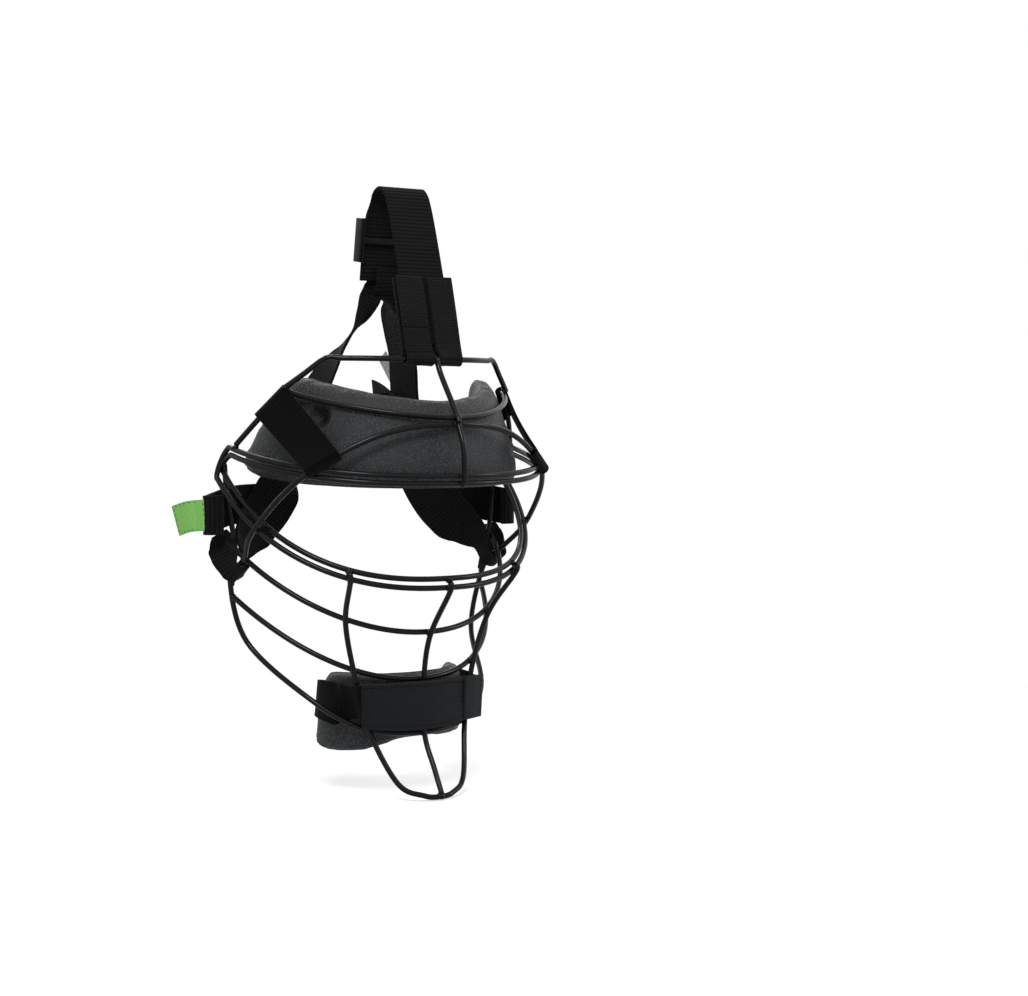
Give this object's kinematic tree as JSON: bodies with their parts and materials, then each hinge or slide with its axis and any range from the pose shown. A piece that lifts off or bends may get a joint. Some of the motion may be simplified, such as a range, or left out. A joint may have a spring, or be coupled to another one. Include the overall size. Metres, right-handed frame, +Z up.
{
  "type": "wire face guard",
  "caption": "Welded wire face guard worn without a helmet: wide eye port, chin and throat bars, forehead and chin pads and an adjustable webbing harness",
  "frame": {"origin": "middle of the wearer's head, level with the temples", "axes": "+Z is up, the guard faces -Y, +X is the wearer's left"},
  "size_m": [0.252, 0.1587, 0.3736],
  "materials": {
    "coated_wire": "black dip coating, semi-gloss",
    "pad_cover": "black grained leatherette over foam",
    "elastic": "black ribbed elastic",
    "sleeve_fabric": "black smooth neoprene-backed fabric, bare",
    "webbing": "black woven webbing",
    "green_tag": "lime green woven ribbon, bare",
    "white_label": "white satin ribbon, bare",
    "slider": "dark moulded slider with bright worn edges"
  },
  "bodies": {
    "cage": {"visor_loop_outer": "coated_wire", "visor_loop_inner": "coated_wire", "outer_frame": "coated_wire", "forehead_ring": "coated_wire", "top_bar": "coated_wire", "crown_wire": "coated_wire", "nose_bar": "coated_wire", "mouth_bar": "coated_wire", "centre_bar": "coated_wire", "throat_bar": "coated_wire", "upright_left": "coated_wire", "upright_right": "coated_wire", "forehead_pad": "pad_cover", "pad_sleeve_left": "elastic", "pad_sleeve_right": "elastic", "chin_pad": "pad_cover", "chin_sleeve": "sleeve_fabric", "strap_tab_left": "webbing", "strap_tab_right": "webbing"},
    "harness": {"top_strap": "webbing", "side_strap_left": "webbing", "side_strap_right": "webbing", "rear_band": "elastic", "strap_end_left": "webbing", "strap_end_right": "webbing", "pull_tag_left": "green_tag", "pull_tag_right": "green_tag", "care_label": "white_label"},
    "flap": {"sleeve_flap": "webbing"},
    "buckle": {"slider_buckle": "slider"},
    "hook": {"hook_tab": "webbing"}
  },
  "joints": [
    {"name": "flap_peel", "type": "hinge", "parent": "cage", "child": "flap", "pos_m": [0.027, -0.0653, -0.146], "axis": [0, 0, -1], "range_deg": [0, 75]},
    {"name": "harness_tilt", "type": "hinge", "parent": "cage", "child": "harness", "pos_m": [0, 0.0005, -0.064], "axis": [-1, 0, 0], "range_deg": [0, 8], "stiffness_Nm_per_rad": 3, "deforming": ["top_strap"]},
    {"name": "buckle_slide", "type": "slide", "parent": "harness", "child": "buckle", "axis": [0, 0.1432, -0.9897], "range_m": [-0.005, 0.004]},
    {"name": "hook_peel", "type": "hinge", "parent": "harness", "child": "hook", "pos_m": [0.0308, 0.0239, 0.0333], "axis": [0.2542, 0.1738, -0.9514], "range_deg": [0, 45]}
  ]
}
